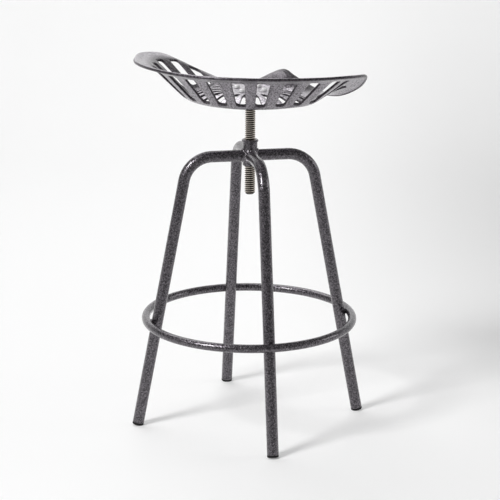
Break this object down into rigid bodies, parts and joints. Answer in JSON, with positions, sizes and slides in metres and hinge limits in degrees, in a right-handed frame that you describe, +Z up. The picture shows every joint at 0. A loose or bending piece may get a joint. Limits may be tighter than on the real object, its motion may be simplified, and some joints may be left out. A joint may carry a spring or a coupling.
{
  "type": "tractor seat stool",
  "caption": "Bar stool with a dished, slotted metal tractor seat on a lifting screw, a threaded collar, bent tube legs and a round foot ring.",
  "frame": {"origin": "on the floor, on the lifting screw's axis, midway between the four feet", "axes": "+Z up along the screw; the legs stand along +X, +Y, -X and -Y; the seat at rest faces the way it was pictured, 46.5 degrees round from +X towards +Y"},
  "size_m": [0.4632, 0.4632, 0.7141],
  "materials": {
    "frame_paint": "glossy hammered paint, dark pewter grey",
    "seat_paint": "glossy hammered paint, pewter grey",
    "screw_steel": "oiled dark steel thread with bright crests",
    "bolt_zinc": "bright zinc plate",
    "plug_plastic": "matt black moulded plastic"
  },
  "bodies": {
    "frame": {"hub_collar": "frame_paint", "foot_ring": "frame_paint", "leg_right": "frame_paint", "leg_back": "frame_paint", "leg_left": "frame_paint", "leg_front": "frame_paint", "foot_plug_right": "plug_plastic", "foot_plug_back": "plug_plastic", "foot_plug_left": "plug_plastic", "foot_plug_front": "plug_plastic"},
    "screw": {"lifting_screw": "screw_steel"},
    "seat": {"seat_plate": "seat_paint", "seat_pan": "seat_paint", "seat_washer_1": "bolt_zinc", "seat_washer_2": "bolt_zinc", "seat_washer_3": "bolt_zinc", "seat_washer_4": "bolt_zinc", "seat_bolt_1": "bolt_zinc", "seat_bolt_2": "bolt_zinc", "seat_bolt_3": "bolt_zinc", "seat_bolt_4": "bolt_zinc"}
  },
  "joints": [
    {"name": "seat_lift", "type": "slide", "parent": "frame", "child": "screw", "axis": [0, 0, 1], "range_m": [-0.0855, 0.053]},
    {"name": "seat_turn", "type": "hinge", "parent": "screw", "child": "seat", "pos_m": [0, 0, 0.6], "axis": [0, 0, 1], "range_deg": [-7668, 4752]}
  ],
  "couplings": [
    {"joint": "seat_lift", "follows": "seat_turn", "m_per_rad": 0.00063662}
  ]
}
